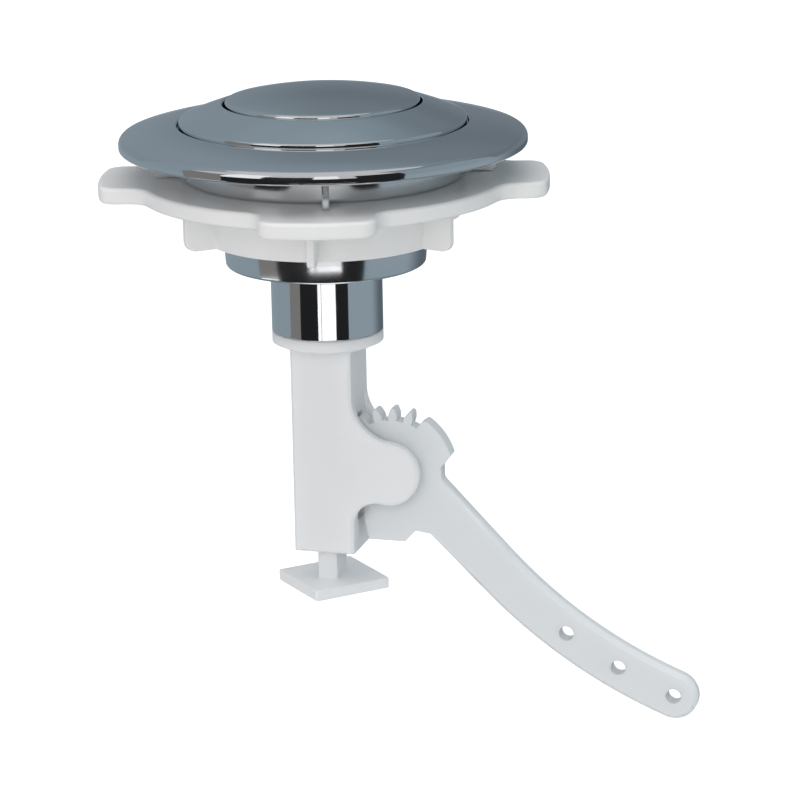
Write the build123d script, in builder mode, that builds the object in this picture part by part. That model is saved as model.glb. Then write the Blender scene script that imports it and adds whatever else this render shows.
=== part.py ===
from build123d import *
import os
from math import acos, cos, degrees, pi, radians, sin, sqrt, tan

# Push button actuator for a cistern lid, in millimetres.
# The origin is on the button's axis, at the plane where the skirt sits on the lid.
# +Z is up and +X is the side that the lever reaches out to.

# Clearances
slide_gap = 0.3           # between faces that slide past each other
snap_gap = 0.1            # between pieces that are pushed together and stay so
stop_gap = 0.1            # left at a stop
pin_gap = 0.08            # trunnion in its socket, on the radius

# Button stack, from the lid seat upwards
press_travel = 8.4
ledge_wall = 1.5          # ledge above the seat that stops the pressed button
cap_skirt = 3.6           # height of the button's side wall
button_step = 0.4         # button's edge above the bezel's inner edge
bezel_rise = 2.95         # bezel's inner edge above its outer edge
bezel_step = 0.68         # bezel's outer edge above the flange
flange_rise = 3.2         # flange's inner edge above the middle of its rim

# Button and bezel
button_r = 17.6
button_crown = 2.1
cap_wall = 1.8
cap_lip = 0.6             # lip that snaps under the plunger's plate
cap_lip_reach = 0.5
button_groove = 0.4       # gap to see between button and bezel
bezel_r = 26.0
bezel_wall = 1.4
bezel_sleeve_wall = 1.2
bezel_sleeve_clear = 1.5  # sleeve's lower edge above the ledge
bezel_groove = 0.3        # gap to see between bezel and flange

# Escutcheon
flange_r = 36.9
rim_thick = 2.3
rim_break = 0.9           # bevel along the rim's upper edge
flange_wall = 2.4
recess_depth = 2.0
recess_wall = 1.8
skirt_r = 25.8
skirt_wall = 1.6
cup_wall = 1.5
gusset_reach = 5.3
gusset_wall = 1.3
gusset_turn = 17.6        # degrees, the gussets against the lever
gusset_count = 4
barrel_r = 18.4
barrel_wall = 1.7
barrel_length = 16.3
barrel_floor = 1.9
neck_r = 10.2
neck_wall = 1.4
neck_length = 12.6
edge_break = 0.4          # bevel along the moulded edges

# Clamp nut
nut_disc_r = 33.75
nut_disc_thick = 3.0
nut_tab_r = 40.8
nut_tab_width = 20.3
nut_tab_corner = 3.2      # rounds at the tabs' ends and roots, where the tabs stand out far enough
nut_tab_root = 4.0
nut_tab_turn = 15.2       # degrees, the tabs against the lever
nut_tab_count = 4
nut_thread_depth = 0.8    # room for the barrel's thread
nut_hub_wall = 2.5
nut_height = 11.3
nut_rib_reach = 5.8
nut_rib_wall = 1.4
nut_rib_corner = 2.0
nut_rib_turn = 41.6       # degrees, the ribs against the lever
nut_rib_count = 6

# Plunger, spring and rod
plate_thick = 1.6
plunger_tube_r = 5.2
plunger_tube_end = 12.0   # tube's lower end below the seat
plunger_web_end = 2.0     # webs' lower end below the seat
plunger_web_wall = 1.4
plunger_web_count = 4
rod_r = 3.0
rod_top = 4.0             # rod's end above the seat
rod_tip = 0.6
wire_r = 0.6
spring_r = 12.0
spring_turns = 5
turn_steps = 16           # straight runs in each turn
wire_sides = 6            # flats round the wire

# Rack housing
spigot_wall = 1.6
spigot_barb = 0.8
spigot_barb_height = 1.6
spigot_slot = 1.6
spigot_slot_depth = 9.0
spigot_slot_count = 4
spigot_slot_turn = 45     # degrees, the slots against the lever
spigot_cup_drop = 1.1     # bottom of the spigot's bore below the neck
ring_height = 1.9
ring_bevel = 0.9
ring_bevel_r = 8.3
stem_width = 11.4
stem_break = 0.5          # bevel along the stem and the cheeks
stem_length = 41.5        # stem's lower end below the neck
stem_wall = 2.1
ceiling_drop = 6.1        # top of the rack's chamber below the neck
cheek_r = 5.9
cheek_upper_round = 8.0
cheek_lower_round = 4.5
pivot_drop = 25.7         # lever's axis below the neck
pivot_reach = 12.3        # lever's axis in front of the button's axis
socket_skin = 0.8

# Rack and sector
gear_module = 1.0
gear_teeth = 21
pressure_angle = 20
dedendum = 1.25           # depth of the tooth roots below the pitch line, in modules
tooth_sink = 0.25         # how far the sector's teeth run into its body
flank_points = 4          # points along each involute flank
backlash = 0.24
sector_angle = 89.3       # degrees, one tooth of the sector at rest
sector_first = -2         # teeth counted from that one
sector_last = 7
rack_first = -3           # rack teeth counted upwards from the lever's axis
rack_last = 4
rack_shoe_end = 8.8       # toothed shoe's lower end below the lever's axis
bar_front = 1.65
bar_back = 1.95
foot_gap = 5.8            # foot's top below the stem
foot_diagonal = 21.7      # before its corners are rounded
foot_thick = 2.0
foot_corner = 0.5

# Lever
lever_thick = 3.2
slot_side_gap = 0.5
hub_r = 4.4
trunnion_r = 2.4
block_start = 16.4        # degrees, the outer corner of the block beside the teeth
block_slope = 51.6        # degrees, the block's end face
notch_round = 1.6
heel_top_x = -5.7         # the heel's corners, from the lever's axis
heel_top_z = -9.3
heel_left_x = -4.8
heel_right_x = 2.2
heel_z = -13.8
heel_step_x = 4.2
heel_step_z = -11.6
arm_angle = 45.5          # degrees below level
arm_offset = 1.0          # arm's centre line above the lever's axis
arm_width = 9.0
arm_straight = 26.6
arm_bend_r = 92.7
arm_break = 0.35          # bevel along the arm
chain_hole_r = 1.4
chain_hole_start = 17.3   # first hole along the bend
chain_hole_pitch = 11.35
chain_hole_count = 3

# Heights above the lid seat
ledge_z = ledge_wall
cap_low_z = ledge_z + slide_gap + press_travel
button_z = cap_low_z + cap_skirt
bezel_in_z = button_z - button_step
bezel_out_z = bezel_in_z - bezel_rise
flange_z = bezel_out_z - bezel_step
rim_z = flange_z - flange_rise
recess_z = flange_z - recess_depth
sleeve_z = ledge_z + bezel_sleeve_clear
plate_z = cap_low_z + cap_lip

# Heights below the lid seat
nut_top_z = -stop_gap
nut_low_z = nut_top_z - nut_height
barrel_z = -barrel_length
floor_z = barrel_z + barrel_floor
neck_z = barrel_z - neck_length
ring_z = neck_z - ring_height
ceiling_z = neck_z - ceiling_drop
stem_z = neck_z - stem_length
pivot_z = neck_z - pivot_drop
foot_z = stem_z - foot_gap
shoe_z = pivot_z - rack_shoe_end

# Radii and half widths that follow from the fits
sleeve_in_r = button_r + button_groove
sleeve_r = sleeve_in_r + bezel_sleeve_wall
cup_r = sleeve_r + snap_gap
recess_r = bezel_r + bezel_groove
barrel_bore_r = barrel_r - barrel_wall
neck_bore_r = neck_r - neck_wall
spigot_r = neck_bore_r - snap_gap
spigot_bore_r = spigot_r - spigot_wall
cap_bore_r = button_r - cap_wall
plate_r = cap_bore_r - snap_gap
web_r = spring_r - wire_r - 2 * slide_gap
nut_bore_r = barrel_r + nut_thread_depth + snap_gap
nut_hub_r = nut_bore_r + nut_hub_wall
stem_half = stem_width / 2
chamber_half = stem_half - stem_wall
shoe_half = chamber_half - slide_gap
trunnion_half = stem_half - socket_skin - stop_gap

# Rack and sector
pitch_r = gear_module * gear_teeth / 2
tip_r = pitch_r + gear_module
root_r = pitch_r - dedendum * gear_module
base_r = pitch_r * cos(radians(pressure_angle))
tooth_pitch = pi * gear_module
tooth_turn = 360 / gear_teeth
tooth_width = (tooth_pitch - backlash) / 2
rack_root_x = pivot_reach - pitch_r - dedendum * gear_module

# The lever's plane, seen from the front: X outwards and Y upwards from its axis
lever_plane = Plane(origin=(pivot_reach, 0, pivot_z), x_dir=(1, 0, 0), z_dir=(0, -1, 0))


def polar(radius, angle):
    """Point at a radius and an angle in degrees."""
    return (radius * cos(radians(angle)), radius * sin(radians(angle)))


def tooth_half_angle(radius):
    """Half the angle, in degrees, that an involute tooth takes up at a radius."""
    at_pitch = tooth_width / 2 / pitch_r
    flank = acos(min(1, base_r / radius))
    start = radians(pressure_angle)
    return degrees(at_pitch + (tan(start) - start) - (tan(flank) - flank))


def arm_point(along, across):
    """Point of the lever's arm: along its centre line from the start of the bend, and across it."""
    slope = radians(arm_angle)
    ahead = (cos(slope), -sin(slope))
    aside = (sin(slope), cos(slope))
    if along <= 0:
        run = arm_straight + along
        rise = arm_offset + across
        return (run * ahead[0] + rise * aside[0], run * ahead[1] + rise * aside[1])
    mid_rise = arm_offset + arm_bend_r
    mid_x = arm_straight * ahead[0] + mid_rise * aside[0]
    mid_y = arm_straight * ahead[1] + mid_rise * aside[1]
    here = slope - along / arm_bend_r
    return (mid_x - (arm_bend_r - across) * sin(here), mid_y - (arm_bend_r - across) * cos(here))


os.makedirs("parts", exist_ok=True)

# Escutcheon: flange, recess, cup, skirt, barrel, floor and neck, moulded in one and chromed
with BuildPart() as escutcheon:
    with BuildSketch(Plane.XZ):
        with BuildLine():
            under_z = recess_z - recess_wall
            rim_top = (flange_r - rim_break, rim_z + rim_thick / 2)
            rim_low = (flange_r - edge_break, rim_z - rim_thick / 2)
            flange_fall = (flange_z - rim_top[1]) / (rim_top[0] - recess_r)
            Polyline(
                (neck_bore_r, neck_z),
                (neck_r, neck_z),
                (neck_r, barrel_z),
                (barrel_r - edge_break, barrel_z),
                (barrel_r, barrel_z + edge_break),
                (barrel_r, 0),
                (cup_r + cup_wall, 0),
                (cup_r + cup_wall, under_z),
                (skirt_r - skirt_wall, under_z),
                (skirt_r - skirt_wall, 0),
                (skirt_r, 0),
                (skirt_r, under_z),
                (recess_r + recess_wall, under_z),
                (recess_r + recess_wall, flange_z - flange_fall * recess_wall - flange_wall),
                rim_low,
                (flange_r, rim_low[1] + edge_break),
                (flange_r, rim_top[1] - rim_break),
                rim_top,
                (recess_r, flange_z),
                (recess_r, recess_z),
                (cup_r, recess_z),
                (cup_r, ledge_z),
                (barrel_bore_r, ledge_z),
                (barrel_bore_r, floor_z),
                (neck_bore_r, floor_z),
                close=True,
            )
        make_face()
    revolve(axis=Axis.Z)
    with BuildSketch(Plane.XY):
        with PolarLocations(skirt_r - skirt_wall / 2, gusset_count, start_angle=gusset_turn):
            Rectangle(gusset_reach + skirt_wall / 2, gusset_wall, align=(Align.MIN, Align.CENTER))
    extrude(amount=rim_z)
escutcheon.part.label = "escutcheon"
export_step(escutcheon.part, "parts/escutcheon.step")

# Bezel ring: sloping top, outer wall that stands in the recess, inner sleeve pushed into the cup
with BuildPart() as bezel_ring:
    with BuildSketch(Plane.XZ):
        with BuildLine():
            slope = bezel_rise / (bezel_r - sleeve_in_r)
            Polyline(
                (bezel_r, recess_z),
                (bezel_r, bezel_out_z),
                (sleeve_in_r, bezel_in_z),
                (sleeve_in_r, sleeve_z),
                (sleeve_r, sleeve_z),
                (sleeve_r, bezel_in_z - slope * bezel_sleeve_wall - bezel_wall),
                (bezel_r - bezel_wall, bezel_out_z + slope * bezel_wall - bezel_wall),
                (bezel_r - bezel_wall, recess_z),
                close=True,
            )
        make_face()
    revolve(axis=Axis.Z)
    rings = bezel_ring.edges().filter_by(GeomType.CIRCLE)
    outer_corner = rings.group_by(SortBy.RADIUS)[-1].sort_by(Axis.Z)[-1]
    chamfer([rings.sort_by(Axis.Z)[-1], outer_corner], edge_break)
bezel_ring.part.label = "bezel_ring"
export_step(bezel_ring.part, "parts/bezel_ring.step")

# Button cap: domed top that rests on the plunger's plate, side wall and the lip that holds the plate
crown_z = button_z + button_crown
dome_r = (button_r**2 + button_crown**2) / (2 * button_crown)
with BuildPart() as button_cap:
    with BuildSketch(Plane.XY.offset(cap_low_z)):
        Circle(button_r)
    extrude(amount=cap_skirt + button_crown)
    with Locations((0, 0, crown_z - dome_r)):
        Sphere(dome_r, rotation=(90, 0, 0), mode=Mode.INTERSECT)
    chamfer(button_cap.edges().filter_by(GeomType.CIRCLE).sort_by(Axis.Z)[-1], edge_break)
    with BuildSketch(Plane.XZ):
        with BuildLine():
            Polyline(
                (0, cap_low_z),
                (cap_bore_r - cap_lip_reach, cap_low_z),
                (cap_bore_r - cap_lip_reach, plate_z),
                (cap_bore_r, plate_z),
                (cap_bore_r, plate_z + plate_thick),
                (0, plate_z + plate_thick),
                close=True,
            )
        make_face()
    revolve(axis=Axis.Z, mode=Mode.SUBTRACT)
button_cap.part.label = "button_cap"
export_step(button_cap.part, "parts/button_cap.step")

# Button plunger: plate held in the cap, tube that takes the rack's rod, webs between them
with BuildSketch() as web_face:
    web_low = (0, -plunger_web_end)
    web_foot = (plunger_tube_r, -plunger_web_end)
    Polygon(web_low, web_foot, (web_r, plate_z), (0, plate_z), align=None)
with BuildPart() as button_plunger:
    with BuildSketch(Plane.XY.offset(plate_z)):
        Circle(plate_r)
    extrude(amount=plate_thick)
    with BuildSketch(Plane.XY.offset(-plunger_tube_end)):
        Circle(plunger_tube_r)
    extrude(amount=plunger_tube_end + plate_z)
    for turn in range(plunger_web_count):
        with BuildSketch(Plane.XZ.rotated((0, 0, 360 / plunger_web_count * turn))):
            add(web_face.sketch)
        extrude(amount=plunger_web_wall / 2, both=True)
    with BuildSketch(Plane.XY.offset(-plunger_tube_end)):
        Circle(rod_r + snap_gap)
    extrude(amount=plunger_tube_end + rod_top, mode=Mode.SUBTRACT)
button_plunger.part.label = "button_plunger"
export_step(button_plunger.part, "parts/button_plunger.step")

# Return spring: wire wound from the barrel's floor to the plunger's plate, ends ground flat
spring_height = plate_z - floor_z
with BuildPart() as return_spring:
    with BuildLine() as spring_path:
        steps = spring_turns * turn_steps
        heights = [floor_z + spring_height / steps * step for step in range(steps + 1)]
        turns = [polar(spring_r, 360 / turn_steps * step) for step in range(steps + 1)]
        Polyline([(*turn, height) for turn, height in zip(turns, heights)])
    with BuildSketch(Plane(origin=spring_path.line @ 0, z_dir=spring_path.line % 0)):
        RegularPolygon(wire_r, wire_sides)
    sweep(path=spring_path.line, transition=Transition.RIGHT)
    with Locations((0, 0, floor_z)):
        Cylinder(
            spring_r + 2 * wire_r,
            spring_height,
            align=(Align.CENTER, Align.CENTER, Align.MIN),
            mode=Mode.INTERSECT,
        )
return_spring.part.label = "return_spring"
export_step(return_spring.part, "parts/return_spring.step")

# Clamp nut: disc with wing tabs, hub and thin ribs
tab_half = nut_tab_width / 2
tab_side = sqrt(nut_tab_r**2 - tab_half**2) - sqrt(nut_disc_r**2 - tab_half**2)
tab_corner = min(nut_tab_corner, tab_side / 2 - edge_break)
tab_root = min(nut_tab_root, tab_side / 2 + edge_break)
with BuildSketch() as nut_rib_face:
    with Locations((0, nut_low_z)):
        rib_height = nut_height - nut_disc_thick / 2
        Rectangle(nut_hub_r + nut_rib_reach, rib_height, align=(Align.MIN, Align.MIN))
    outer_corners = nut_rib_face.vertices().group_by(Axis.X)[-1]
    fillet(outer_corners.sort_by(Axis.Y)[0], nut_rib_corner)
with BuildPart() as clamp_nut:
    with BuildSketch(Plane.XY.offset(nut_top_z)) as nut_plan:
        with PolarLocations(0, nut_tab_count, start_angle=nut_tab_turn):
            Rectangle(2 * nut_tab_r, nut_tab_width, align=(Align.MIN, Align.CENTER))
        Circle(nut_tab_r, mode=Mode.INTERSECT)
        Circle(nut_disc_r)
        corners = nut_plan.vertices()
        fillet([c for c in corners if Vector(c.X, c.Y).length > nut_tab_r - edge_break], tab_corner)
        corners = nut_plan.vertices()
        fillet([c for c in corners if Vector(c.X, c.Y).length < nut_disc_r + edge_break], tab_root)
    extrude(amount=-nut_disc_thick)
    chamfer(clamp_nut.edges().filter_by(Plane.XY), edge_break)
    with BuildSketch(Plane.XY.offset(nut_low_z)):
        Circle(nut_hub_r)
    extrude(amount=nut_height - nut_disc_thick / 2)
    for index in range(nut_rib_count):
        with BuildSketch(Plane.XZ.rotated((0, 0, nut_rib_turn + 360 / nut_rib_count * index))):
            add(nut_rib_face.sketch)
        extrude(amount=nut_rib_wall / 2, both=True)
    with BuildSketch(Plane.XY.offset(nut_top_z)):
        Circle(nut_bore_r)
    extrude(amount=-nut_height, mode=Mode.SUBTRACT)
clamp_nut.part.label = "clamp_nut"
export_step(clamp_nut.part, "parts/clamp_nut.step")

# Rack housing: spigot with snap fingers, collar ring, square stem and the two cheeks of the lever
upper_mid_x = stem_half + cheek_upper_round
upper_mid_z = pivot_z + sqrt((cheek_r + cheek_upper_round) ** 2 - (upper_mid_x - pivot_reach) ** 2)
lower_mid_x = stem_half + cheek_lower_round
lower_mid_z = pivot_z - sqrt((cheek_r + cheek_lower_round) ** 2 - (lower_mid_x - pivot_reach) ** 2)
upper_share = cheek_r / (cheek_r + cheek_upper_round)
lower_share = cheek_r / (cheek_r + cheek_lower_round)
with BuildSketch() as cheek_face:
    with BuildLine():
        upper_end = (stem_half, upper_mid_z)
        lower_end = (stem_half, lower_mid_z)
        upper_touch = (
            pivot_reach + upper_share * (upper_mid_x - pivot_reach),
            pivot_z + upper_share * (upper_mid_z - pivot_z),
        )
        lower_touch = (
            pivot_reach + lower_share * (lower_mid_x - pivot_reach),
            pivot_z + lower_share * (lower_mid_z - pivot_z),
        )
        TangentArc(upper_end, upper_touch, tangent=(0, -1))
        ThreePointArc(upper_touch, (pivot_reach + cheek_r, pivot_z), lower_touch)
        TangentArc(lower_end, lower_touch, tangent=(0, 1))
        Polyline(lower_end, (chamber_half, lower_mid_z), (chamber_half, upper_mid_z), upper_end)
    make_face()
with BuildPart() as rack_housing:
    with BuildSketch(Plane.XZ):
        with BuildLine():
            barb_z = floor_z + snap_gap
            cup_z = neck_z - spigot_cup_drop
            Polyline(
                (0, ring_z - ring_bevel),
                (ring_bevel_r, ring_z - ring_bevel),
                (neck_r, ring_z),
                (neck_r, neck_z),
                (spigot_r, neck_z),
                (spigot_r, barb_z),
                (spigot_r + spigot_barb, barb_z),
                (spigot_r, barb_z + spigot_barb_height),
                (spigot_bore_r, barb_z + spigot_barb_height),
                (spigot_bore_r, cup_z),
                (0, cup_z),
                close=True,
            )
        make_face()
    revolve(axis=Axis.Z)
    with BuildSketch(Plane.XY.offset(barb_z + spigot_barb_height)):
        with PolarLocations(0, spigot_slot_count, start_angle=spigot_slot_turn):
            Rectangle(spigot_r + 2 * spigot_barb, spigot_slot, align=(Align.MIN, Align.CENTER))
    extrude(amount=-spigot_slot_depth, mode=Mode.SUBTRACT)
    with BuildSketch(Plane.XY.offset(stem_z)):
        Rectangle(stem_width, stem_width)
    extrude(amount=ring_z - stem_z)
    for side in (chamber_half, -stem_half):
        with BuildSketch(Plane.XZ.offset(side)):
            add(cheek_face.sketch)
        extrude(amount=stem_wall)
    for side in (0, -1):
        side_edges = rack_housing.faces().filter_by(Axis.Y).sort_by(Axis.Y)[side].edges()
        chamfer([edge for edge in side_edges if edge.center().Z < ring_z - ring_bevel], stem_break)
    with BuildSketch(Plane.XY.offset(stem_z)):
        Rectangle(2 * chamber_half, 2 * chamber_half)
    extrude(amount=ceiling_z - stem_z, mode=Mode.SUBTRACT)
    with BuildSketch(Plane.XY.offset(ceiling_z)):
        Circle(rod_r + slide_gap)
    extrude(amount=cup_z - ceiling_z, mode=Mode.SUBTRACT)
    with BuildSketch(Plane.YZ.offset(chamber_half)):
        slot_half = sqrt((tip_r + slide_gap) ** 2 - (pivot_reach - stem_half) ** 2) + slide_gap
        with Locations((0, pivot_z)):
            Rectangle(lever_thick + 2 * slot_side_gap, 2 * slot_half)
    extrude(amount=stem_wall, mode=Mode.SUBTRACT)
    with BuildSketch(lever_plane):
        Circle(trunnion_r + pin_gap)
    extrude(amount=stem_half - socket_skin, both=True, mode=Mode.SUBTRACT)
rack_housing.part.label = "rack_housing"
export_step(rack_housing.part, "parts/rack_housing.step")

# Rack: toothed shoe in the housing's chamber, round rod up to the plunger, bar and square foot below
with BuildPart() as rack:
    with BuildSketch(Plane.XZ):
        shoe_height = ceiling_z - stop_gap - shoe_z
        with Locations((rack_root_x, shoe_z)):
            Rectangle(rack_root_x + shoe_half, shoe_height, align=(Align.MAX, Align.MIN))
        mesh_z = pivot_z + pitch_r * radians((180 - sector_angle) % tooth_turn)
        for count in range(rack_first, rack_last + 1):
            with Locations((rack_root_x, mesh_z + (count + 0.5) * tooth_pitch)):
                root_width = tooth_width + 2 * dedendum * gear_module * tan(radians(pressure_angle))
                Trapezoid(
                    root_width,
                    (1 + dedendum) * gear_module,
                    90 - pressure_angle,
                    rotation=-90,
                    align=(Align.CENTER, Align.MIN),
                )
        with Locations((bar_front, foot_z)):
            Rectangle(bar_front + bar_back, shoe_z - foot_z, align=(Align.MAX, Align.MIN))
    extrude(amount=shoe_half, both=True)
    with BuildSketch(Plane.XY.offset(foot_z)) as foot_plan:
        Rectangle(foot_diagonal / sqrt(2), foot_diagonal / sqrt(2), rotation=45)
        fillet(foot_plan.vertices(), foot_corner)
    extrude(amount=-foot_thick)
    with BuildSketch(Plane.XY.offset(ceiling_z - stop_gap)):
        Circle(rod_r)
    extrude(amount=rod_top - ceiling_z + stop_gap)
    chamfer(rack.faces().sort_by(Axis.Z)[-1].edges(), rod_tip)
rack.part.label = "rack"
export_step(rack.part, "parts/rack.step")

# Lever: toothed sector, block and heel on moulded trunnions, curved arm with chain holes
arm_half = arm_width / 2
arm_end = chain_hole_start + (chain_hole_count - 1) * chain_hole_pitch
with BuildSketch() as tooth:
    with BuildLine():
        flank_step = (tip_r - base_r) / (flank_points - 1)
        flank_radii = [base_r + flank_step * point for point in range(flank_points)]
        upper_flank = [polar(radius, tooth_half_angle(radius)) for radius in flank_radii]
        lower_flank = [polar(radius, -tooth_half_angle(radius)) for radius in flank_radii]
        inner_r = root_r - tooth_sink
        upper_root = polar(inner_r, tooth_half_angle(base_r))
        lower_root = polar(inner_r, -tooth_half_angle(base_r))
        Line(upper_root, upper_flank[0])
        Spline(upper_flank)
        ThreePointArc(upper_flank[-1], (tip_r, 0), lower_flank[-1])
        Spline(lower_flank)
        Polyline(lower_flank[0], lower_root, upper_root)
    make_face()
with BuildPart() as lever:
    with BuildSketch(lever_plane) as lever_face:
        Circle(root_r)
        for count in range(sector_first, sector_last + 1):
            add(tooth.sketch, rotation=sector_angle + count * tooth_turn)
        block_end = sector_angle + sector_first * tooth_turn
        with BuildLine():
            block_corner = polar(tip_r, block_start)
            block_mid = polar(tip_r, (block_start + block_end) / 2)
            block_foot_x = block_corner[0] - arm_half * cos(radians(block_slope))
            block_foot_y = block_corner[1] - arm_half * sin(radians(block_slope))
            Polyline((0, 0), (block_foot_x, block_foot_y), block_corner)
            ThreePointArc(block_corner, block_mid, polar(tip_r, block_end))
            Line(polar(tip_r, block_end), (0, 0))
        make_face()
        with BuildLine():
            Polyline(
                (0, 0),
                (heel_top_x, heel_top_z),
                (heel_left_x, heel_z),
                (heel_right_x, heel_z),
                (heel_step_x, heel_step_z),
                arm_point(-arm_straight / 2, -arm_half),
                close=True,
            )
        make_face()
        with BuildLine():
            Polyline(arm_point(0, arm_half), arm_point(-arm_straight, arm_half),
                     arm_point(-arm_straight, -arm_half), arm_point(0, -arm_half))
            ThreePointArc(
                arm_point(0, -arm_half), arm_point(arm_end / 2, -arm_half), arm_point(arm_end, -arm_half)
            )
            ThreePointArc(
                arm_point(arm_end, -arm_half), arm_point(arm_end + arm_half, 0), arm_point(arm_end, arm_half)
            )
            ThreePointArc(
                arm_point(arm_end, arm_half), arm_point(arm_end / 2, arm_half), arm_point(0, arm_half)
            )
        make_face()
        notch = lever_face.vertices().sort_by_distance((block_foot_x, block_foot_y))[0]
        fillet(notch, notch_round)
    extrude(amount=lever_thick / 2, both=True)
    side_edges = lever.faces().filter_by(Axis.Y).edges()
    chamfer([edge for edge in side_edges if edge.center().X > pivot_reach + tip_r], arm_break)
    with BuildSketch(lever_plane):
        for count in range(chain_hole_count):
            with Locations(arm_point(chain_hole_start + count * chain_hole_pitch, 0)):
                Circle(chain_hole_r)
    extrude(amount=lever_thick, both=True, mode=Mode.SUBTRACT)
    with BuildSketch(lever_plane):
        Circle(hub_r)
    extrude(amount=shoe_half, both=True)
    with BuildSketch(lever_plane):
        Circle(trunnion_r)
    extrude(amount=trunnion_half, both=True)
lever.part.label = "lever"
export_step(lever.part, "parts/lever.step")
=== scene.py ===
from math import cos, pi, radians, sin, sqrt, tan

import bmesh
import bpy
from mathutils import Matrix, Vector


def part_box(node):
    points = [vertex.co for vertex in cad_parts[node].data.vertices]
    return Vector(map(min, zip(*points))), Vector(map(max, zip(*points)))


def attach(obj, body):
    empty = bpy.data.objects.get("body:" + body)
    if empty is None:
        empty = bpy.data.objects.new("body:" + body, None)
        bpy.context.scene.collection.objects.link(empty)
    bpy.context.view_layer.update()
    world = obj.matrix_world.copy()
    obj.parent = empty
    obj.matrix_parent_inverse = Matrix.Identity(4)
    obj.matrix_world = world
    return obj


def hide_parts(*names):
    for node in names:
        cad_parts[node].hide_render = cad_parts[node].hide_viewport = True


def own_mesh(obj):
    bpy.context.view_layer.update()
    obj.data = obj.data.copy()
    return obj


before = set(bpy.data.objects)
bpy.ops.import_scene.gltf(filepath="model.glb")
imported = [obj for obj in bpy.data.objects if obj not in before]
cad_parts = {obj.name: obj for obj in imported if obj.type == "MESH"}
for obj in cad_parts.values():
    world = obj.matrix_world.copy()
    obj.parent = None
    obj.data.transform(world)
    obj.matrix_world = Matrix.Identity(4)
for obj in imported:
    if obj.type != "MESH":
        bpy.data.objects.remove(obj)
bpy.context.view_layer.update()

# Escutcheon: flange, recess, skirt, threaded barrel and neck, moulded in one piece of ABS.
# It is plated with copper and nickel and then bright chrome, so it mirrors the room;
# four small gussets stiffen the skirt under the flange. It sits on the lid at height 0.
mm = 0.001
seat_z = 0
neck_bore_r, neck_r, neck_low_z = 8.8, 10.2, -28.9
barrel_bore_r, barrel_r, barrel_low_z, barrel_floor_z = 16.7, 18.4, -16.3, -14.4
lead_in_r, lead_in_z, lead_in_shares = 18.2, -12.8, (0.8, 0.65, 0.5, 0.35, 0.2)
cup_r, cup_out_r, cup_ledge_z = 19.3, 20.8, 1.5
skirt_in_r, skirt_r, skirt_top_z, skirt_draft = 24.2, 25.8, 5.97, 0.18
recess_r, recess_floor_z, recess_out_r, recess_step_z = 26.3, 7.77, 28.1, 6.99
flange_r, flange_in_z, flange_in_slope, rim_top_z, rim_low_z = 36.9, 9.77, 0.105, 7.53, 5.35
gusset_count, gusset_turn, gusset_wall = 4, radians(17.6), 1.3
gusset_in_r, gusset_out_r, gusset_top_z, gusset_round = 25.0, 31.1, 6.5, 0.6
thread_pitch, thread_rise, thread_top_z, thread_low_z = 3.0, 0.75, -1.2, -11.0
thread_root, thread_crest, thread_sink = 1.9, 0.7, 0.2
thread_turn_steps, thread_run_in_steps = 90, 30
fine_round, edge_round, step_round, soft_round, skirt_round, rim_round = 0.2, 0.3, 0.4, 0.5, 0.8, 1.3
weld_mm = 0.0005


def linear(hex_colour):
    """Linear red, green, blue and alpha of a colour written as sRGB hex."""
    parts = [int(hex_colour[place:place + 2], 16) / 255 for place in (1, 3, 5)]
    return [c / 12.92 if c <= 0.04045 else ((c + 0.055) / 1.055) ** 2.4 for c in parts] + [1]


def fill_sockets(tree, node, sockets):
    """Fills a node's sockets, by name or by place, with values or with other nodes' outputs."""
    for name, value in sockets.items():
        if isinstance(value, bpy.types.NodeSocket):
            tree.links.new(value, node.inputs[name])
        else:
            node.inputs[name].default_value = value


def add_node(tree, kind, sockets=None, **settings):
    """Adds a node with its settings and fills its sockets."""
    made = tree.nodes.new(kind)
    for name, value in settings.items():
        setattr(made, name, value)
    fill_sockets(tree, made, sockets or {})
    return made


# Bright chrome over moulded ABS: a blue-white mirror. The plastic under the plating is never quite
# flat, so long waves bend what it mirrors, and faint polishing haze varies its gloss.
chrome_wave_mm, chrome_wave_rise_mm, chrome_haze_mm = 6.0, 0.009, 11.0
chrome_gloss, chrome_hazy = 0.035, 0.075
# Most of a noise pattern lies between these two values, so they are spread over the whole range of gloss.
noise_low, noise_high = 0.3, 0.7
chrome = bpy.data.materials.new("bright_chrome_plate_on_abs")
chrome.use_nodes = True
tree = chrome.node_tree
where = add_node(tree, "ShaderNodeTexCoord").outputs["Object"]
haze = add_node(
    tree, "ShaderNodeTexNoise", {"Vector": where, "Scale": 1 / (chrome_haze_mm * mm), "Detail": 3.0}
)
gloss = add_node(
    tree,
    "ShaderNodeMapRange",
    {
        "Value": haze.outputs["Fac"],
        "From Min": noise_low,
        "From Max": noise_high,
        "To Min": chrome_gloss,
        "To Max": chrome_hazy,
    },
    name="gloss",
)
wave = add_node(
    tree, "ShaderNodeTexNoise", {"Vector": where, "Scale": 1 / (chrome_wave_mm * mm), "Detail": 1.0}
)
waviness = add_node(
    tree,
    "ShaderNodeBump",
    {"Height": wave.outputs["Fac"], "Strength": 1.0, "Distance": chrome_wave_rise_mm * mm},
    name="waviness",
)
fill_sockets(tree, tree.nodes["Principled BSDF"], {
    "Base Color": linear("#e1e4e6"),
    "Metallic": 1.0,
    "Roughness": gloss.outputs["Result"],
    "Normal": waviness.outputs["Normal"],
})

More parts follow.
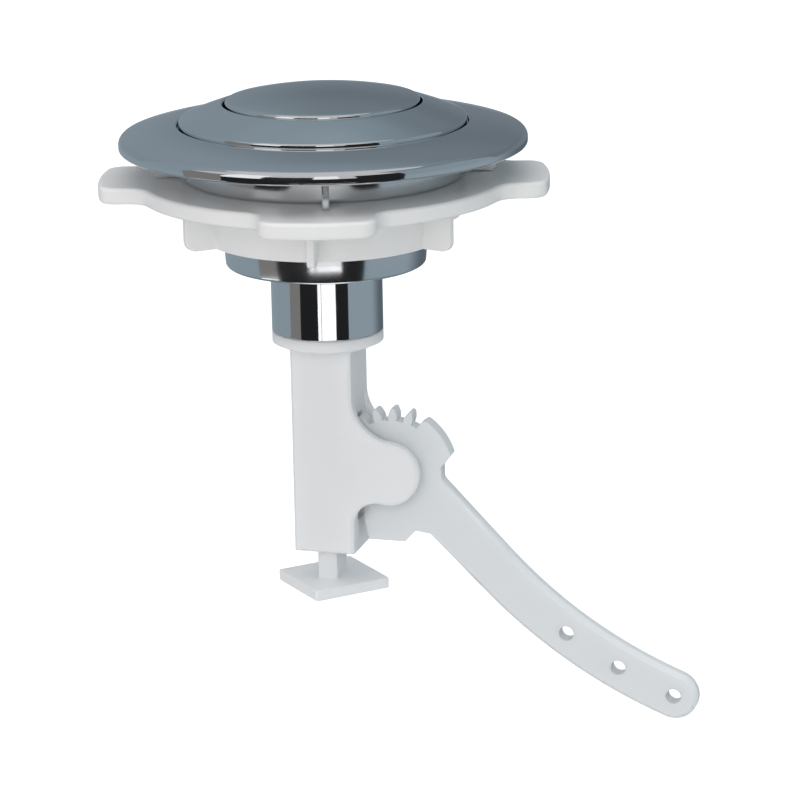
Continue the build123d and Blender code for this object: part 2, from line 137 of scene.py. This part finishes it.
# The same plating where nobody polishes it, on the skirt and the barrel: a soft, wavier grey sheen.
dull_gloss, dull_hazy, dull_wave_rise_mm = 0.1, 0.17, 0.02
dull_chrome = chrome.copy()
dull_chrome.name = "chrome_plate_as_plated"
tree = dull_chrome.node_tree
fill_sockets(tree, tree.nodes["gloss"], {"To Min": dull_gloss, "To Max": dull_hazy})
fill_sockets(tree, tree.nodes["waviness"], {"Distance": dull_wave_rise_mm * mm})


def rounded(corners, arc_steps=6):
    """Points of a closed outline from its corners, each given as across, up and rounding in mm."""
    points = []
    for index, (across, up, rounding) in enumerate(corners):
        here = Vector((across, up))
        if not rounding:
            points.append(here)
            continue
        back = (Vector(corners[index - 1][:2]) - here).normalized()
        ahead = (Vector(corners[(index + 1) % len(corners)][:2]) - here).normalized()
        half = back.angle(ahead) / 2
        middle = here + (back + ahead).normalized() * rounding / sin(half)
        first = here + back * rounding / tan(half) - middle
        last = here + ahead * rounding / tan(half) - middle
        for step in range(arc_steps + 1):
            spoke = first.lerp(last, step / arc_steps).normalized() * rounding
            points.append(middle + spoke)
    return points


def crowned(in_r, in_z, out_r, out_z, in_slope, steps=8):
    """Corners of a top that falls ever more steeply from its inner edge outwards, outermost first."""
    width = out_r - in_r
    sag = in_z - out_z - in_slope * width
    shares = [step / steps for step in range(steps - 1, 0, -1)]
    return [(in_r + width * s, in_z - in_slope * width * s - sag * s**2, 0) for s in shares]


def turn_round(form, points, steps=240):
    """Adds the skin of a round piece whose section has these points, as radius and height in mm."""
    ring = [form.verts.new((point.x * mm, 0, point.y * mm)) for point in points]
    sides = [form.edges.new((ring[index - 1], ring[index])) for index in range(len(ring))]
    bmesh.ops.spin(
        form,
        geom=ring + sides,
        cent=(0, 0, 0),
        axis=(0, 0, 1),
        angle=2 * pi,
        steps=steps,
        use_merge=True,
    )


def skin_over(form, sections):
    """Closes a skin over sections that follow each other, and gives its two end faces."""
    for before, after in zip(sections, sections[1:]):
        for index in range(len(after)):
            form.faces.new((before[index - 1], before[index], after[index], after[index - 1]))
    return [form.faces.new(section) for section in (sections[0], sections[-1])]


def round_over(form, edges, rounding, arc_steps, round_profile=0.5):
    """Rounds these edges of a form over, in mm."""
    bmesh.ops.bevel(
        form,
        geom=edges,
        offset=rounding * mm,
        segments=arc_steps,
        profile=round_profile,
        affect="EDGES",
        clamp_overlap=True,
    )


def place_round(out, angle, up):
    """A place given by its distance from the button's axis, its angle round it and its height."""
    return Vector((out * cos(angle), out * sin(angle), up))


def put_in_place(name, form, material, crease=radians(50), evenness=50):
    """Makes a piece of a form: closed, smooth over its rounded edges and even on its flats."""
    bmesh.ops.remove_doubles(form, verts=form.verts, dist=weld_mm * mm)
    bmesh.ops.recalc_face_normals(form, faces=form.faces)
    for edge in form.edges:
        edge.smooth = len(edge.link_faces) == 2 and edge.calc_face_angle() < crease
    for face in form.faces:
        face.smooth = True
    skin = bpy.data.meshes.new(name)
    form.to_mesh(skin)
    form.free()
    skin.materials.append(material)
    piece = bpy.data.objects.new(name, skin)
    bpy.context.scene.collection.objects.link(piece)
    even = piece.modifiers.new("even_flats", "WEIGHTED_NORMAL")
    even.keep_sharp = True
    even.weight = evenness
    return piece


form = bmesh.new()
lead_in = []
for share in lead_in_shares:
    height = lead_in_z + (barrel_low_z - lead_in_z) * share
    lead_in.append((barrel_r - (barrel_r - lead_in_r) * share**2, height, 0))
turn_round(form, rounded([
    (neck_bore_r, neck_low_z, fine_round),
    (neck_r, neck_low_z, edge_round),
    (neck_r, barrel_low_z, step_round),
    (lead_in_r, barrel_low_z, soft_round),
    *lead_in,
    (barrel_r, lead_in_z, 0),
    (barrel_r, seat_z, fine_round),
    (cup_out_r, seat_z, fine_round),
    (cup_out_r, skirt_top_z, edge_round),
    (skirt_in_r, skirt_top_z, edge_round),
    (skirt_in_r, seat_z, edge_round),
    (skirt_r - skirt_draft, seat_z, skirt_round),
    (skirt_r, skirt_top_z, skirt_round),
    (recess_out_r, skirt_top_z, step_round),
    (recess_out_r, recess_step_z, step_round),
    (flange_r, rim_low_z, soft_round),
    (flange_r, rim_top_z, rim_round),
    *crowned(recess_r, flange_in_z, flange_r, rim_top_z, flange_in_slope),
    (recess_r, flange_in_z, edge_round),
    (recess_r, recess_floor_z, fine_round),
    (cup_r, recess_floor_z, fine_round),
    (cup_r, cup_ledge_z, fine_round),
    (barrel_bore_r, cup_ledge_z, fine_round),
    (barrel_bore_r, barrel_floor_z, step_round),
    (neck_bore_r, barrel_floor_z, fine_round),
]))
for count in range(gusset_count):
    turn = Matrix.Rotation(gusset_turn + 2 * pi / gusset_count * count, 4, "Z")
    fin = rounded([
        (gusset_in_r, seat_z, 0),
        (gusset_out_r, seat_z, gusset_round),
        (gusset_out_r, gusset_top_z, 0),
        (gusset_in_r, gusset_top_z, 0),
    ])
    fin_sides = [
        [form.verts.new(turn @ Vector((point.x, side, point.y)) * mm) for point in fin]
        for side in (-gusset_wall / 2, gusset_wall / 2)
    ]
    rims = {edge for face in skin_over(form, fin_sides) for edge in face.edges}
    round_over(form, list(rims), edge_round, arc_steps=3)
thread_steps = round((thread_top_z - thread_low_z) / thread_pitch * thread_turn_steps)
sections = []
for step in range(thread_steps + 1):
    angle = 2 * pi * step / thread_turn_steps
    height = thread_top_z - thread_pitch * step / thread_turn_steps
    rise = thread_rise * min(1, step / thread_run_in_steps, (thread_steps - step) / thread_run_in_steps)
    outline = (
        (barrel_r - thread_sink, -thread_root / 2),
        (barrel_r + rise, -thread_crest / 2),
        (barrel_r + rise, thread_crest / 2),
        (barrel_r - thread_sink, thread_root / 2),
    )
    sections.append([form.verts.new(place_round(out, angle, height + off) * mm) for out, off in outline])
skin_over(form, sections)
escutcheon = put_in_place("chromed_escutcheon", form, chrome)
escutcheon.data.materials.append(dull_chrome)
dull_place = escutcheon.data.materials.find(dull_chrome.name)
rim_margin, seat_margin = 1.0, 0.1
for face in escutcheon.data.polygons:
    out = face.center.xy.length / mm
    up = face.center.z / mm
    on_skirt = cup_out_r < out < flange_r - rim_margin and -seat_margin < up < recess_step_z + seat_margin
    on_barrel = barrel_bore_r < out < cup_r and up < -seat_margin
    if on_skirt or on_barrel:
        face.material_index = dull_place
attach(escutcheon, "body")
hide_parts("escutcheon")

# Bezel ring: the middle step round the button, a thin ring moulded in ABS and chromed with the rest.
# Its outer wall stands in the flange's recess, and its sleeve is pushed into the escutcheon's cup.
bezel_r, bezel_edge_z, bezel_in_slope, bezel_wall, bezel_round = 26.0, 10.45, 0.32, 1.4, 0.45
sleeve_in_r, sleeve_r, sleeve_top_z, sleeve_low_z = 18.0, 19.2, 13.4, 3.0
bezel_slope = (sleeve_top_z - bezel_edge_z) / (bezel_r - sleeve_in_r)
form = bmesh.new()
turn_round(form, rounded([
    (bezel_r, recess_floor_z, fine_round),
    (bezel_r, bezel_edge_z, bezel_round),
    *crowned(sleeve_in_r, sleeve_top_z, bezel_r, bezel_edge_z, bezel_in_slope),
    (sleeve_in_r, sleeve_top_z, edge_round),
    (sleeve_in_r, sleeve_low_z, fine_round),
    (sleeve_r, sleeve_low_z, fine_round),
    (sleeve_r, sleeve_top_z - bezel_slope * (sleeve_r - sleeve_in_r) - bezel_wall, fine_round),
    (bezel_r - bezel_wall, bezel_edge_z + bezel_slope * bezel_wall - bezel_wall, fine_round),
    (bezel_r - bezel_wall, recess_floor_z, fine_round),
]))
bezel = put_in_place("chromed_bezel", form, chrome)
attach(bezel, "body")
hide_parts("bezel_ring")

# Button: the dome that is pressed, moulded in ABS and chromed like the bezel.
# A lip inside its wall snaps under the plunger's plate, so the two move together.
button_r, button_low_z, button_edge_z, button_crown, button_round = 17.6, 10.2, 13.8, 2.1, 0.6
lip_r, plate_bore_r, plate_low_z, plate_top_z = 15.3, 15.8, 10.8, 12.4
dome_r = (button_r**2 + button_crown**2) / (2 * button_crown)
dome_steps = 14
form = bmesh.new()
dome = []
for step in range(1, dome_steps + 1):
    out = button_r * (1 - step / dome_steps)
    dome.append((out, button_edge_z + button_crown - dome_r + sqrt(dome_r**2 - out**2), 0))
turn_round(form, rounded([
    (button_r, button_low_z, fine_round),
    (button_r, button_edge_z, button_round),
    *dome,
    (0, plate_top_z, 0),
    (plate_bore_r, plate_top_z, 0),
    (plate_bore_r, plate_low_z, 0),
    (lip_r, plate_low_z, 0),
    (lip_r, button_low_z, 0),
]))
button = put_in_place("chromed_button", form, chrome)
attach(button, "button")
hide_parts("button_cap")

# Plunger: the carrier under the dome, moulded in natural acetal so that it slides without grease.
# The button snaps over its plate, and its tube takes the rack's rod; it is out of sight in the barrel.
plunger_round, flats_even = 0.15, 100


def copy_of(node_name, flat_within=radians(0.3)):
    """A form copied from a solid, with the cuts across its flat faces taken out."""
    form = bmesh.new()
    form.from_mesh(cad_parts[node_name].data)
    bmesh.ops.remove_doubles(form, verts=form.verts, dist=weld_mm * mm)
    bmesh.ops.dissolve_limit(form, angle_limit=flat_within, verts=form.verts, edges=form.edges)
    return form


def soften(form, rounding, chosen=None, sharp=radians(28)):
    """Rounds the sharp edges of a form in mm, or only the chosen ones, as a mould leaves them."""
    edges = [edge for edge in form.edges if len(edge.link_faces) == 2 and edge.calc_face_angle() > sharp]
    if chosen:
        edges = [edge for edge in edges if all(chosen(vert.co / mm) for vert in edge.verts)]
    round_over(form, edges, rounding, arc_steps=4)


def moulded_plastic(
    name, colour, flow_colour, *, flow_mm, grain_mm, grain_rise_mm, gloss, dull, ior, depth_mm, depth_weight
):
    """A white plastic as moulded: clouded where it flowed, finely grained, and light sinks into it."""
    made = bpy.data.materials.new(name)
    made.use_nodes = True
    tree = made.node_tree
    where = add_node(tree, "ShaderNodeTexCoord").outputs["Object"]
    flow = add_node(
        tree, "ShaderNodeTexNoise", {"Vector": where, "Scale": 1 / (flow_mm * mm), "Detail": 2.0}
    )
    tint = add_node(
        tree,
        "ShaderNodeMix",
        {"Factor": flow.outputs["Fac"], "A": colour, "B": flow_colour},
        data_type="RGBA",
        name="tint",
    )
    satin = add_node(
        tree,
        "ShaderNodeMapRange",
        {
            "Value": flow.outputs["Fac"],
            "From Min": noise_low,
            "From Max": noise_high,
            "To Min": gloss,
            "To Max": dull,
        },
    )
    grain = add_node(
        tree, "ShaderNodeTexNoise", {"Vector": where, "Scale": 1 / (grain_mm * mm), "Detail": 1.0}
    )
    grained = add_node(
        tree,
        "ShaderNodeBump",
        {"Height": grain.outputs["Fac"], "Strength": 1.0, "Distance": grain_rise_mm * mm},
    )
    fill_sockets(tree, tree.nodes["Principled BSDF"], {
        "Base Color": tint.outputs["Result"],
        "Roughness": satin.outputs["Result"],
        "Normal": grained.outputs["Normal"],
        "IOR": ior,
        "Subsurface Weight": depth_weight,
        "Subsurface Radius": (1.0, 1.0, 1.0),
        "Subsurface Scale": depth_mm * mm,
    })
    return made


# Natural acetal as moulded: cool milky white that lets a little light through, with a waxy satin
# skin. Flow in the mould leaves soft cloudy patches, and the mould's own surface a fine grain.
# The grain is really about 0.05 mm; it is drawn at 0.6 mm so that it shows at all.
acetal_depth_weight = 0.75
acetal = moulded_plastic(
    "natural_acetal_as_moulded",
    linear("#f3f4f6"),
    linear("#eceff1"),
    flow_mm=9.0,
    grain_mm=0.6,
    grain_rise_mm=0.003,
    gloss=0.34,
    dull=0.46,
    ior=1.48,
    depth_mm=2.5,
    depth_weight=acetal_depth_weight,
)
# The trunnions back the plastic round the lever's pivot, so light doesn't sink in there.
pivot_mm = Vector((12.3, -54.6))
sink_from_mm, sink_full_mm = 4.0, 7.0
tree = acetal.node_tree
where = add_node(tree, "ShaderNodeTexCoord").outputs["Object"]
flat_place = add_node(tree, "ShaderNodeVectorMath", {0: where, 1: (1, 0, 1)}, operation="MULTIPLY")
off_pivot = add_node(
    tree,
    "ShaderNodeVectorMath",
    {0: flat_place.outputs["Vector"], 1: (pivot_mm.x * mm, 0, pivot_mm.y * mm)},
    operation="DISTANCE",
)
sinking = add_node(
    tree,
    "ShaderNodeMapRange",
    {
        "Value": off_pivot.outputs["Value"],
        "From Min": sink_from_mm * mm,
        "From Max": sink_full_mm * mm,
        "To Max": acetal_depth_weight,
    },
    interpolation_type="SMOOTHSTEP",
)
fill_sockets(tree, tree.nodes["Principled BSDF"], {"Subsurface Weight": sinking.outputs["Result"]})

form = copy_of("button_plunger")
soften(form, plunger_round)
plunger = put_in_place("button_carrier", form, acetal, evenness=flats_even)
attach(plunger, "button")
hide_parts("button_plunger")

# Return spring: hard-drawn spring wire coiled to a loose compression spring with plain cut ends.
# It stands on the barrel's floor and lifts the plunger's plate; pressing the button closes it.
spring_r, wire_r, spring_turns, wire_sides = 12.0, 0.6, 5, 12
coil_steps = 48
spring_low, spring_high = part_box("return_spring")
spring_long = spring_high[2] - spring_low[2]

# Drawn spring wire: dark bright steel, speckled dull where drawing soap has burnt on to it.
# The specks are really under 0.1 mm; they are drawn at 0.25 mm so that they show at all.
wire_speck_mm, wire_gloss, wire_dull = 0.25, 0.28, 0.45
wire = bpy.data.materials.new("drawn_spring_steel")
wire.use_nodes = True
tree = wire.node_tree
where = add_node(tree, "ShaderNodeTexCoord").outputs["Object"]
specks = add_node(
    tree, "ShaderNodeTexNoise", {"Vector": where, "Scale": 1 / (wire_speck_mm * mm), "Detail": 2.0}
)
dulled = add_node(
    tree, "ShaderNodeMapRange", {"Value": specks.outputs["Fac"], "To Min": wire_gloss, "To Max": wire_dull}
)
fill_sockets(tree, tree.nodes["Principled BSDF"], {
    "Base Color": linear("#8b8d8f"),
    "Metallic": 1.0,
    "Roughness": dulled.outputs["Result"],
})

form = bmesh.new()
sections = []
for step in range(spring_turns * coil_steps + 1):
    angle = 2 * pi * step / coil_steps
    share = step / (spring_turns * coil_steps)
    height = spring_low[2] / mm + wire_r + (spring_long / mm - 2 * wire_r) * share
    ring = []
    for side in range(wire_sides):
        lean = 2 * pi * side / wire_sides
        out = spring_r + wire_r * cos(lean)
        up = height + wire_r * sin(lean)
        ring.append(form.verts.new(place_round(out, angle, up) * mm))
    sections.append(ring)
skin_over(form, sections)
spring = put_in_place("coil_spring", form, wire)
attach(spring, "body")
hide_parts("return_spring")
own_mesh(spring)

# Clamp nut: a large hand nut moulded in white ABS, with a threaded hub, four wing tabs to grip
# and thin ribs under the disc. It runs up the barrel's thread and clamps the cistern lid.
nut_round = 0.25

# White ABS as moulded: opaque, slightly warm white with a satin skin from a spark-eroded mould.
# The grain is really about 0.05 mm; it is drawn at 0.5 mm so that it shows at all.
white_abs = moulded_plastic(
    "white_abs_as_moulded",
    linear("#f6f6f5"),
    linear("#eff0f0"),
    flow_mm=14.0,
    grain_mm=0.5,
    grain_rise_mm=0.004,
    gloss=0.29,
    dull=0.37,
    ior=1.53,
    depth_mm=1.0,
    depth_weight=0.15,
)

form = copy_of("clamp_nut")
soften(form, nut_round)
nut = put_in_place("wing_nut", form, white_abs, evenness=flats_even)
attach(nut, "nut")
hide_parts("clamp_nut")

# Rack housing: square stem moulded in natural acetal, with a collar ring, a snap spigot that goes
# up into the neck, and two cheeks that hold the lever's trunnions.
housing_round = 0.2
form = copy_of("rack_housing")
soften(form, housing_round)
housing = put_in_place("stem_and_cheeks", form, acetal, evenness=flats_even)
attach(housing, "body")
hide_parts("rack_housing")

# Rack: the push bar inside the stem, with teeth that turn the lever and a square foot at its end.
# It is one acetal moulding, and its round rod is pressed up into the plunger's tube.
rack_round = 0.15
form = copy_of("rack")
soften(form, rack_round)
push_bar = put_in_place("toothed_push_bar", form, acetal, evenness=flats_even)
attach(push_bar, "button")
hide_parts("rack")

# Lever: toothed sector, heel and curved arm with three chain holes, one flat acetal moulding.
# It swings on two stub trunnions that snap into the housing's cheeks; the arm's edges are well rounded,
# so the solid's narrow bevel along the arm is widened and rounded over.
lever_half, lever_round, near_mm = 1.6, 0.15, 0.01
arm_bevel, arm_widening, arm_rounding, arm_from_mm = 0.35, 0.5, 0.42, 17.0

# Acetal for the thin lever, its tint painted a little greyer than the stem's: painted shade, standing in for
# the light that leaves a thin moulding at the back.
lever_acetal_painted_shade = acetal.copy()
lever_acetal_painted_shade.name = "natural_acetal_painted_shade"
tree = lever_acetal_painted_shade.node_tree
# Painted shade: the lever's tints are set greyer than the stem's acetal.
fill_sockets(tree, tree.nodes["tint"], {"A": linear("#e9ecee"), "B": linear("#e3e7e9")})

form = copy_of("lever")
moves = {}
for vert in form.verts:
    beside = [edge.other_vert(vert) for edge in vert.link_edges]
    rungs = [other for other in beside if abs(abs(other.co.y) / mm - lever_half + arm_bevel) < near_mm]
    if rungs and abs(abs(vert.co.y) / mm - lever_half) < near_mm:
        wall_vert = min(rungs, key=lambda other: (other.co - vert.co).length)
        inward = Vector((vert.co.x - wall_vert.co.x, 0, vert.co.z - wall_vert.co.z)).normalized()
        widening = arm_widening if (vert.co.xz / mm - pivot_mm).length > arm_from_mm else 0
        moves[vert] = inward * widening * mm
        moves[wall_vert] = Vector((0, -widening * mm if wall_vert.co.y > 0 else widening * mm, 0))
for vert, move in moves.items():
    vert.co += move
soften(form, arm_rounding, chosen=lambda at: (at.xz - pivot_mm).length > arm_from_mm)
soften(form, lever_round)
lever = put_in_place("chain_lever", form, lever_acetal_painted_shade, evenness=flats_even)
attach(lever, "lever")
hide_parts("lever")

# Camera: stands in front of the object, a little above the button and a little to the lever's side.
# Its long lens keeps the stem's sides nearly parallel.
lens_mm, sensor_mm = 153.0, 36.0
camera_at = Vector((0.179923, -0.575632, 0.126711))
camera_ahead = Vector((-0.267373, 0.924803, -0.270650)).normalized()
camera_up = Vector((-0.057545, 0.265050, 0.962516))
camera_right = camera_ahead.cross(camera_up).normalized()
camera_up = camera_right.cross(camera_ahead)
camera_data = bpy.data.cameras.new("camera")
camera_data.lens = lens_mm
camera_data.sensor_width = sensor_mm
camera = bpy.data.objects.new("camera", camera_data)
camera_turn = Matrix((camera_right, camera_up, -camera_ahead)).transposed().to_4x4()
camera.matrix_world = Matrix.Translation(camera_at) @ camera_turn
bpy.context.scene.collection.objects.link(camera)
bpy.context.scene.camera = camera

# Floor: a wide sheet of pale matt paper well below the object, which takes its soft shadow.
# A little light of its own, for the camera and for mirrors only, lifts it to white.
floor_z, floor_half, floor_lift, paper_roughness = -0.30, 8.0, 0.65, 0.9


def seen_directly(tree):
    """Gives 1 to the rays that show a thing to the eye, straight, mirrored or through glass, and else 0."""
    rays = add_node(tree, "ShaderNodeLightPath")
    seen = rays.outputs["Is Camera Ray"]
    for way in ("Is Glossy Ray", "Is Transmission Ray"):
        either = add_node(tree, "ShaderNodeMath", {0: seen, 1: rays.outputs[way]}, operation="MAXIMUM")
        seen = either.outputs["Value"]
    return seen


paper = bpy.data.materials.new("pale_floor_paper")
paper.use_nodes = True
tree = paper.node_tree
lift = add_node(tree, "ShaderNodeMath", {0: seen_directly(tree), 1: floor_lift}, operation="MULTIPLY")
fill_sockets(tree, tree.nodes["Principled BSDF"], {
    "Base Color": linear("#ededed"),
    "Roughness": paper_roughness,
    "Specular IOR Level": 0.0,
    "Emission Color": linear("#ffffff"),
    "Emission Strength": lift.outputs["Value"],
})
floor_skin = bpy.data.meshes.new("floor")
floor_skin.from_pydata(
    [(x * floor_half, y * floor_half, floor_z) for x, y in ((-1, -1), (1, -1), (1, 1), (-1, 1))],
    [],
    [(0, 1, 2, 3)],
)
floor_skin.materials.append(paper)
floor = bpy.data.objects.new("floor", floor_skin)
bpy.context.scene.collection.objects.link(floor)

# Reflector cards, for the chrome to mirror: grey cloth behind, beside and above the object, and black
# flags with white windows and a pale cloth in front of it. They stand in a ring round it, sizes in
# metres, and neither the camera nor the light on the object sees them.
card_r, card_gap, card_foot_z, card_top_z = 0.55, 0.01, -0.29, 1.0
front = Vector((camera_at.x, camera_at.y)).angle_signed(Vector((1, 0)))


def hold_card(name, first, last, low, high, material, step_degrees=3):
    """Holds a curved card from one angle to another right of the camera, in degrees.
    It reaches from a low ring to a high one, each given as radius and height in metres."""
    steps = max(2, round((last - first) / step_degrees))
    form = bmesh.new()
    pairs = []
    for step in range(steps + 1):
        angle = front + radians(first + (last - first) * step / steps)
        pairs.append([form.verts.new(place_round(out, angle, up)) for out, up in (low, high)])
    for here, after in zip(pairs, pairs[1:]):
        form.faces.new((here[0], after[0], after[1], here[1]))
    skin = bpy.data.meshes.new(name)
    form.to_mesh(skin)
    form.free()
    skin.materials.append(material)
    card = bpy.data.objects.new(name, skin)
    bpy.context.scene.collection.objects.link(card)
    card.visible_camera = False
    card.visible_diffuse = False
    card.visible_shadow = False


def card_material(name, colour):
    """A card of one colour that glows just enough to be seen in the chrome."""
    made = bpy.data.materials.new(name)
    made.use_nodes = True
    fill_sockets(made.node_tree, made.node_tree.nodes["Principled BSDF"], {
        "Base Color": linear("#000000"),
        "Specular IOR Level": 0.0,
        "Emission Color": colour,
        "Emission Strength": 1.0,
    })
    return made


# Tent cloth, hung in folds that catch the light: its colour changes with the height above the seat.
tent_bands = [
    (-0.20, linear("#94a2ab")),
    (-0.09, linear("#97a4ac")),
    (0.03, linear("#778089")),
    (0.20, linear("#6f7981")),
    (0.38, linear("#78838b")),
    (0.62, linear("#8a99a2")),
    (0.80, linear("#93a1a9")),
]
low_z, shade = tent_bands[0]
tent = card_material("blue_grey_tent_cloth", shade)
tree = tent.node_tree
where = add_node(tree, "ShaderNodeTexCoord").outputs["Object"]
up = add_node(tree, "ShaderNodeSeparateXYZ", {"Vector": where}).outputs["Z"]
for high_z, high_colour in tent_bands[1:]:
    rising = add_node(
        tree,
        "ShaderNodeMapRange",
        {"Value": up, "From Min": low_z, "From Max": high_z},
        interpolation_type="SMOOTHSTEP",
    )
    band = add_node(
        tree,
        "ShaderNodeMix",
        {"Factor": rising.outputs["Result"], "A": shade, "B": high_colour},
        data_type="RGBA",
    )
    shade = band.outputs["Result"]
    low_z = high_z
# The cloth is lighter to the left and darker high on the right, and low behind the right it lies in shade.
# Each patch has its colour, its strength, and the ways along which it comes in, from one place to another.
camera_away = Vector((camera_ahead.x, camera_ahead.y, 0)).normalized()
across, away = [
    add_node(
        tree, "ShaderNodeVectorMath", {0: where, 1: tuple(way)}, operation="DOT_PRODUCT"
    ).outputs["Value"]
    for way in (camera_right, camera_away)
]
tent_patches = [
    (linear("#909da6"), 0.75, [(across, 0.0, -0.16)]),
    (linear("#727c85"), 0.6, [(across, 0.0, 0.35), (up, 0.2, 0.4)]),
    (linear("#5f6870"), 1.0, [(away, 0.1, 0.45), (across, 0.03, 0.2), (up, 0.05, -0.1)]),
]
for patch_colour, strength, ways in tent_patches:
    for way, start, end in ways:
        coming_in = add_node(
            tree,
            "ShaderNodeMapRange",
            {"Value": way, "From Min": start, "From Max": end, "To Max": strength},
            interpolation_type="SMOOTHSTEP",
        )
        strength = coming_in.outputs["Result"]
    patch = add_node(
        tree, "ShaderNodeMix", {"Factor": strength, "A": shade, "B": patch_colour}, data_type="RGBA"
    )
    shade = patch.outputs["Result"]
fill_sockets(tree, tree.nodes["Principled BSDF"], {"Emission Color": shade})

# Plain cards: matt black cloth swallows light, and the grey, brown and white ones throw it back evenly.
black_flag = card_material("black_flag_cloth", linear("#232324"))
brown_card = card_material("brown_grey_card", linear("#827e7b"))
ceiling_cloth = card_material("pale_ceiling_cloth", linear("#cbcacc"))
front_cloth = card_material("grey_front_cloth", linear("#c9c8c8"))
floor_cloth = card_material("grey_floor_cloth", linear("#7b868d"))
white_cloth = card_material("white_window_cloth", linear("#ffffff"))
side_cloth = card_material("blue_grey_side_cloth", linear("#8d9ca5"))

# Where one card ends and the next begins, in degrees right of the camera, and the heights they share.
brown_edge, flag_edge, tall_edge, gap_edge, short_edge = -82, -57, -34, -19, -6
window_edge, right_edge, tent_edge, floor_edge, full_turn = 8, 17, 43.5, 45, 360
stand_edge, stand_end, side_right_end, side_left_edge = -13, -11.5, 105, 245
gap_low_z, gap_high_z, flag_low_top_z, flag_high_top_z, flag_right_top_z = -0.185, -0.132, 0.03, 0.3, 0.36
brown_foot_z, side_foot_z, front_foot_z = -0.24, -0.06, -0.05
side_top_z, window_left_top_z, window_middle_top_z = 0.6, 0.6, 0.5
ceiling_hole_r, floor_hole_r, black_floor_r = 0.001, 0.06, 0.2
tent_end, tent_floor_end = full_turn + brown_edge, full_turn + flag_edge
inner_r, outer_r = card_r - card_gap, card_r + card_gap
hold_card(
    "tent_ceiling", 0, full_turn, (card_r, card_top_z), (ceiling_hole_r, card_top_z), ceiling_cloth
)
hold_card(
    "tent_floor", floor_edge, tent_floor_end, (floor_hole_r, card_foot_z), (card_r, card_foot_z), floor_cloth
)
hold_card(
    "black_floor", flag_edge, floor_edge, (black_floor_r, card_foot_z), (card_r, card_foot_z), black_flag
)
for name, first, last, out, foot_z, top_z, cloth in (
    ("tent_wall", tent_edge, tent_end, card_r, card_foot_z, card_top_z, tent),
    ("side_cloth_right", tent_edge, side_right_end, inner_r, side_foot_z, side_top_z, side_cloth),
    ("side_cloth_left", side_left_edge, tent_end, inner_r, side_foot_z, side_top_z, side_cloth),
    ("brown_card", brown_edge, flag_edge, card_r, brown_foot_z, flag_high_top_z, brown_card),
    ("black_flag_left", flag_edge, tall_edge, card_r, card_foot_z, flag_low_top_z, black_flag),
    ("black_flag_tall", tall_edge, gap_edge, card_r, card_foot_z, flag_high_top_z, black_flag),
    ("black_flag_middle", gap_edge, short_edge, card_r, gap_high_z, flag_high_top_z, black_flag),
    ("black_flag_short", short_edge, right_edge, card_r, gap_high_z, flag_low_top_z, black_flag),
    ("black_flag_low", gap_edge, right_edge, card_r, card_foot_z, gap_low_z, black_flag),
    ("black_flag_right", right_edge, tent_edge, card_r, card_foot_z, flag_right_top_z, black_flag),
    ("lamp_stand", stand_edge, stand_end, card_r, gap_low_z, gap_high_z, floor_cloth),
    ("window_left", flag_edge, tall_edge, card_r, flag_low_top_z, window_left_top_z, white_cloth),
    ("window_middle", short_edge, window_edge, card_r, flag_low_top_z, window_middle_top_z, white_cloth),
    ("front_cloth", brown_edge, tent_edge, outer_r, front_foot_z, card_top_z, front_cloth),
):
    hold_card(name, first, last, (out, foot_z), (out, top_z), cloth)

# Light: an even pale room, brighter above and a little cooler on the right, a broad soft lamp in front
# and a weak one overhead. The room is plain white to the camera and to mirrors,
# and gives less light than that to the object.
room_light, room_top_light = 0.45, 0.80
room_colour, room_right_colour, room_white = linear("#f4f4f6"), linear("#d6e8ec"), linear("#ffffff")
world = bpy.data.worlds.new("pale_room")
bpy.context.scene.world = world
world.use_nodes = True
tree = world.node_tree
seen = seen_directly(tree)
where = add_node(tree, "ShaderNodeTexCoord").outputs["Generated"]
towards = add_node(tree, "ShaderNodeSeparateXYZ", {"Vector": where})
overhead = add_node(
    tree,
    "ShaderNodeMapRange",
    {"Value": towards.outputs["Z"], "To Min": room_light, "To Max": room_top_light},
)
level = add_node(
    tree, "ShaderNodeMapRange", {"Value": seen, "To Min": overhead.outputs["Result"], "To Max": 1.0}
)
sided = add_node(
    tree,
    "ShaderNodeMix",
    {"Factor": towards.outputs["X"], "A": room_colour, "B": room_right_colour},
    data_type="RGBA",
)
room_tint = add_node(
    tree, "ShaderNodeMix", {"Factor": seen, "A": sided.outputs["Result"], "B": room_white}, data_type="RGBA"
)
fill_sockets(tree, tree.nodes["Background"], {
    "Strength": level.outputs["Result"],
    "Color": room_tint.outputs["Result"],
})


def hang_lamp(name, at, aim, size, power, colour):
    """Hangs a square soft lamp that points at a place, sizes in metres and power in watts."""
    lamp = bpy.data.lights.new(name, "AREA")
    lamp.size = size
    lamp.energy = power
    lamp.color = linear(colour)[:3]
    held = bpy.data.objects.new(name, lamp)
    held.location = at
    held.rotation_euler = (Vector(aim) - Vector(at)).to_track_quat("-Z", "Y").to_euler()
    bpy.context.scene.collection.objects.link(held)


middle = (0.01, 0.0, -0.04)
hang_lamp("overhead_lamp", at=(0.0, -0.1, 1.1), aim=middle, size=1.4, power=3.4, colour="#ffffff")
hang_lamp("front_lamp", at=(0.12, -1.22, 0.4), aim=middle, size=0.9, power=4.7, colour="#fff8f5")

bpy.context.scene.view_settings.view_transform = "Standard"
